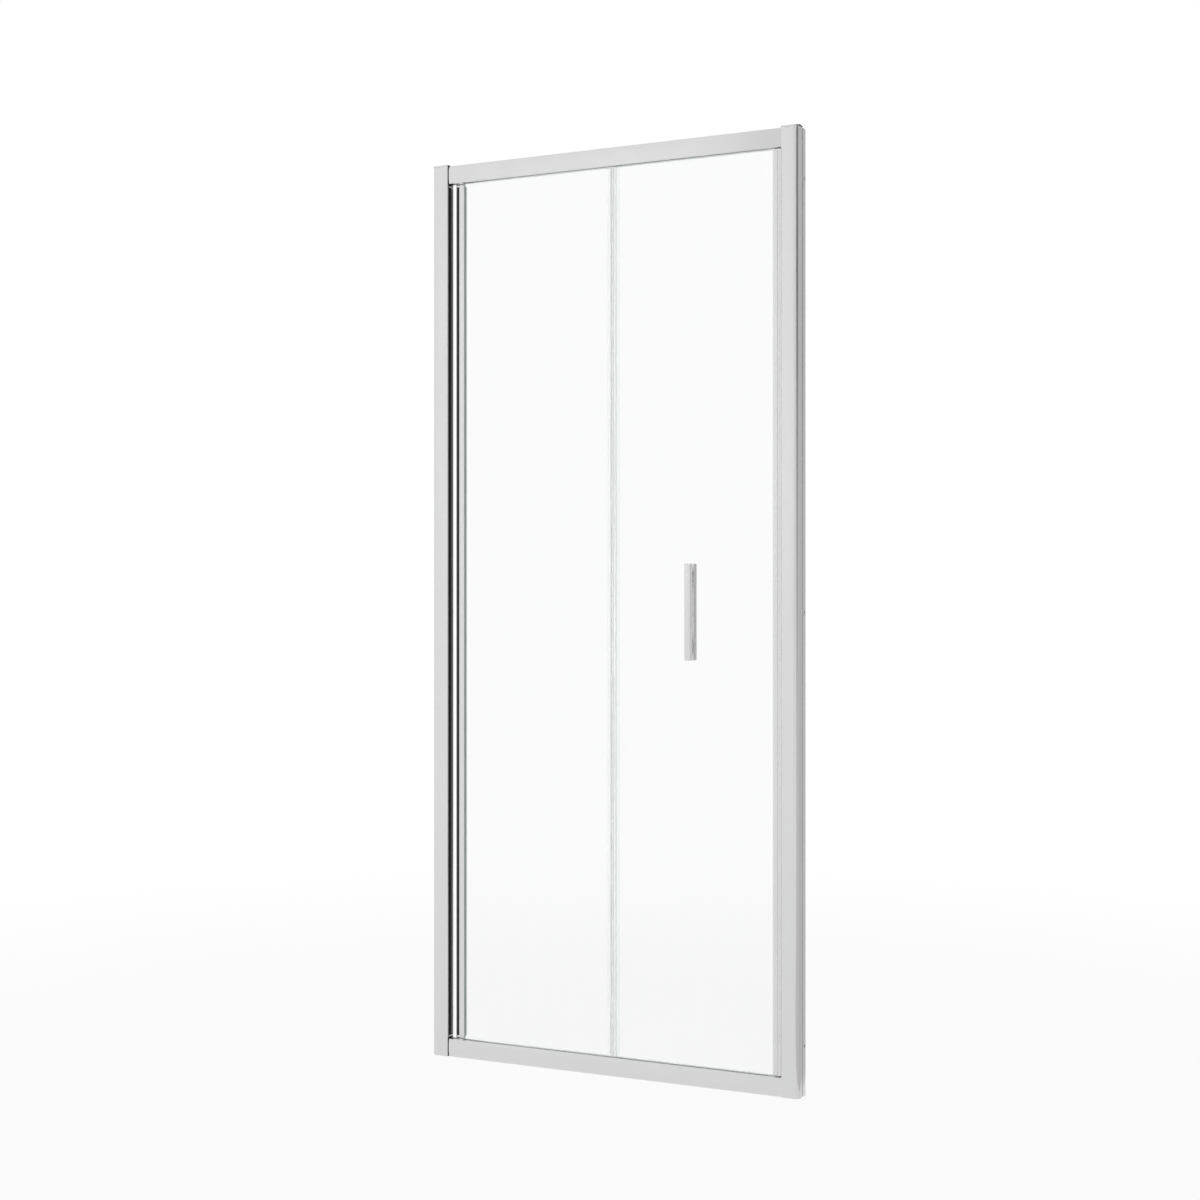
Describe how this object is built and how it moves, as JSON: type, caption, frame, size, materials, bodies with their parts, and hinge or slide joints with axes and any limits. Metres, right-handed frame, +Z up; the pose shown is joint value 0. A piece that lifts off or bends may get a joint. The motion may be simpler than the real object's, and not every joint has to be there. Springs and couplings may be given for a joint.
{
  "type": "bifold shower door",
  "caption": "Framed shower door whose clear glass leaves fold inwards on a corner pivot, a middle hinge and glides in the top and bottom rails, with a slim upright pull handle.",
  "frame": {"origin": "middle of the bottom rail's underside, in the plane of the glass", "axes": "+X from the pivot side to the closing side along the door's width, -Y out of the shower towards the person, +Y into the shower, +Z up"},
  "size_m": [0.8, 0.0419, 1.85],
  "materials": {
    "satin_silver": "satin light silver anodised extrusion",
    "mill_aluminium": "plain satin aluminium",
    "clear_glass": "clear toughened glass with a green edge",
    "clear_plastic": "clear extruded plastic",
    "black_rubber": "matte black soft seal",
    "white_magnet": "pale magnetic strip in soft plastic",
    "white_nylon": "natural nylon and acetal",
    "black_stop": "black moulded plastic",
    "stainless": "plain stainless steel"
  },
  "bodies": {
    "frame": {"wall_channel_left": "mill_aluminium", "wall_channel_right": "mill_aluminium", "jamb_left": "satin_silver", "jamb_right": "satin_silver", "jamb_cap_left": "satin_silver", "jamb_cap_right": "satin_silver", "top_rail": "satin_silver", "bottom_rail": "satin_silver", "rail_screws": "stainless", "clamp_screws": "stainless", "clamp_blocks": "white_nylon", "jamb_strip_seal": "black_rubber", "strip_clips": "satin_silver", "jamb_magnet": "white_magnet", "pivot_block_top": "white_nylon", "pivot_block_bottom": "white_nylon", "pivot_bush_top": "white_nylon", "pivot_bush_bottom": "white_nylon", "track_stops": "black_stop"},
    "leaf_a": {"glass_a": "clear_glass", "pivot_stile_bar": "satin_silver", "bulb_seal": "black_rubber", "stile_cap_top": "satin_silver", "stile_cap_bottom": "satin_silver", "pivot_pin_top": "stainless", "pivot_pin_bottom": "stainless", "hinge_strip_a": "clear_plastic", "hinge_rod": "clear_plastic"},
    "leaf_b": {"glass_b": "clear_glass", "hinge_strip_b": "clear_plastic", "closing_stile": "satin_silver", "closing_cap_top": "satin_silver", "closing_cap_bottom": "satin_silver", "leaf_magnet": "white_magnet", "handle_outer": "satin_silver", "handle_inner": "satin_silver", "handle_pads": "white_nylon", "handle_sleeves": "white_nylon", "handle_screws": "stainless"},
    "carriage_top": {"glide_top": "white_nylon", "guide_pin_top": "stainless"},
    "carriage_bottom": {"glide_bottom": "white_nylon", "guide_pin_bottom": "stainless"}
  },
  "joints": [
    {"name": "leaf_a_fold", "type": "hinge", "parent": "frame", "child": "leaf_a", "pos_m": [-0.3355, 0, 0.9235], "axis": [0, 0, 1], "range_deg": [0, 80]},
    {"name": "leaf_b_fold", "type": "hinge", "parent": "leaf_a", "child": "leaf_b", "pos_m": [0.00925, -0.005, 0.9235], "axis": [0, 0, 1], "range_deg": [-160, 0]},
    {"name": "carriage_top_swivel", "type": "hinge", "parent": "leaf_b", "child": "carriage_top", "pos_m": [0.354, 0, 1.819], "axis": [0, 0, 1], "range_deg": [0, 80]},
    {"name": "carriage_bottom_swivel", "type": "hinge", "parent": "leaf_b", "child": "carriage_bottom", "pos_m": [0.354, 0, 0.028], "axis": [0, 0, 1], "range_deg": [0, 80]}
  ],
  "couplings": [
    {"joint": "leaf_b_fold", "follows": "leaf_a_fold", "ratio": -2},
    {"joint": "carriage_top_swivel", "follows": "leaf_a_fold", "ratio": 1},
    {"joint": "carriage_bottom_swivel", "follows": "leaf_a_fold", "ratio": 1}
  ]
}
